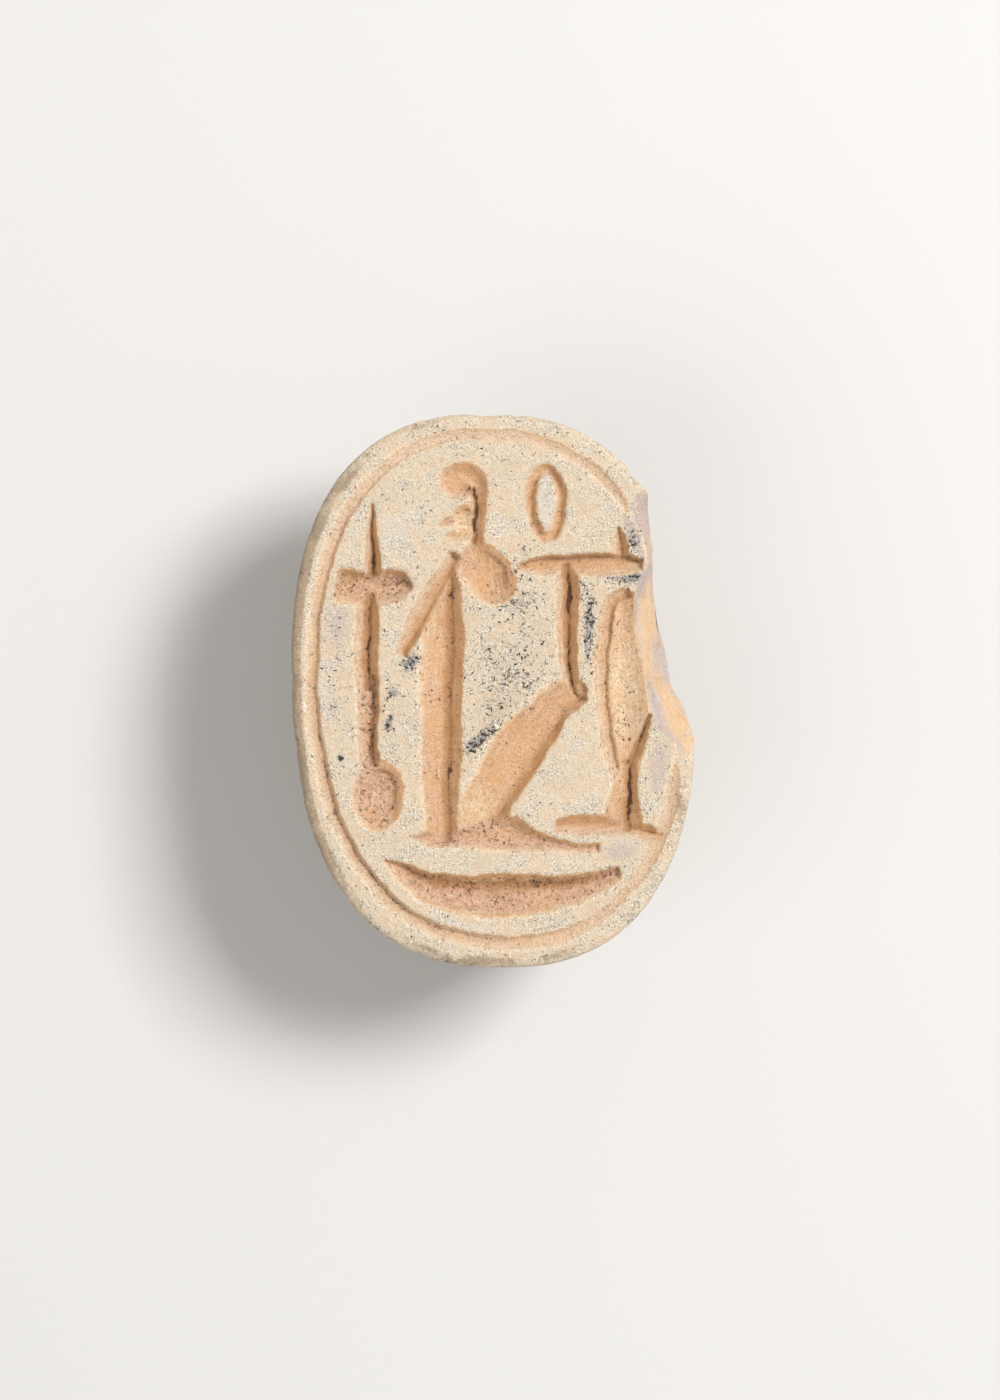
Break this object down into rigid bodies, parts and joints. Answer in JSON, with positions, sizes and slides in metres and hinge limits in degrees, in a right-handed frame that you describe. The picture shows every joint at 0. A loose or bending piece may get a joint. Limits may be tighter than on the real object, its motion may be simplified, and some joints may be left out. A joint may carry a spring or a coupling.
{
  "type": "scarab seal",
  "caption": "Oval beetle-shaped stone seal, pierced lengthwise, with a squatting figure and emblems cut into its flat underside and a break along one edge.",
  "frame": {"origin": "middle of the bounding box at the level of the flat spot on the beetle's back, which is the surface that the seal lies on", "axes": "+Z out of the engraved face, which lies level and upwards; +Y along the oval to the beetle's head end, which is the top of the picture; +X to the right of the picture"},
  "size_m": [0.0116, 0.016, 0.007],
  "materials": {
    "carved_stone": "matt, worn and stained"
  },
  "bodies": {
    "root": {"scarab_seal": "carved_stone"}
  },
  "joints": []
}
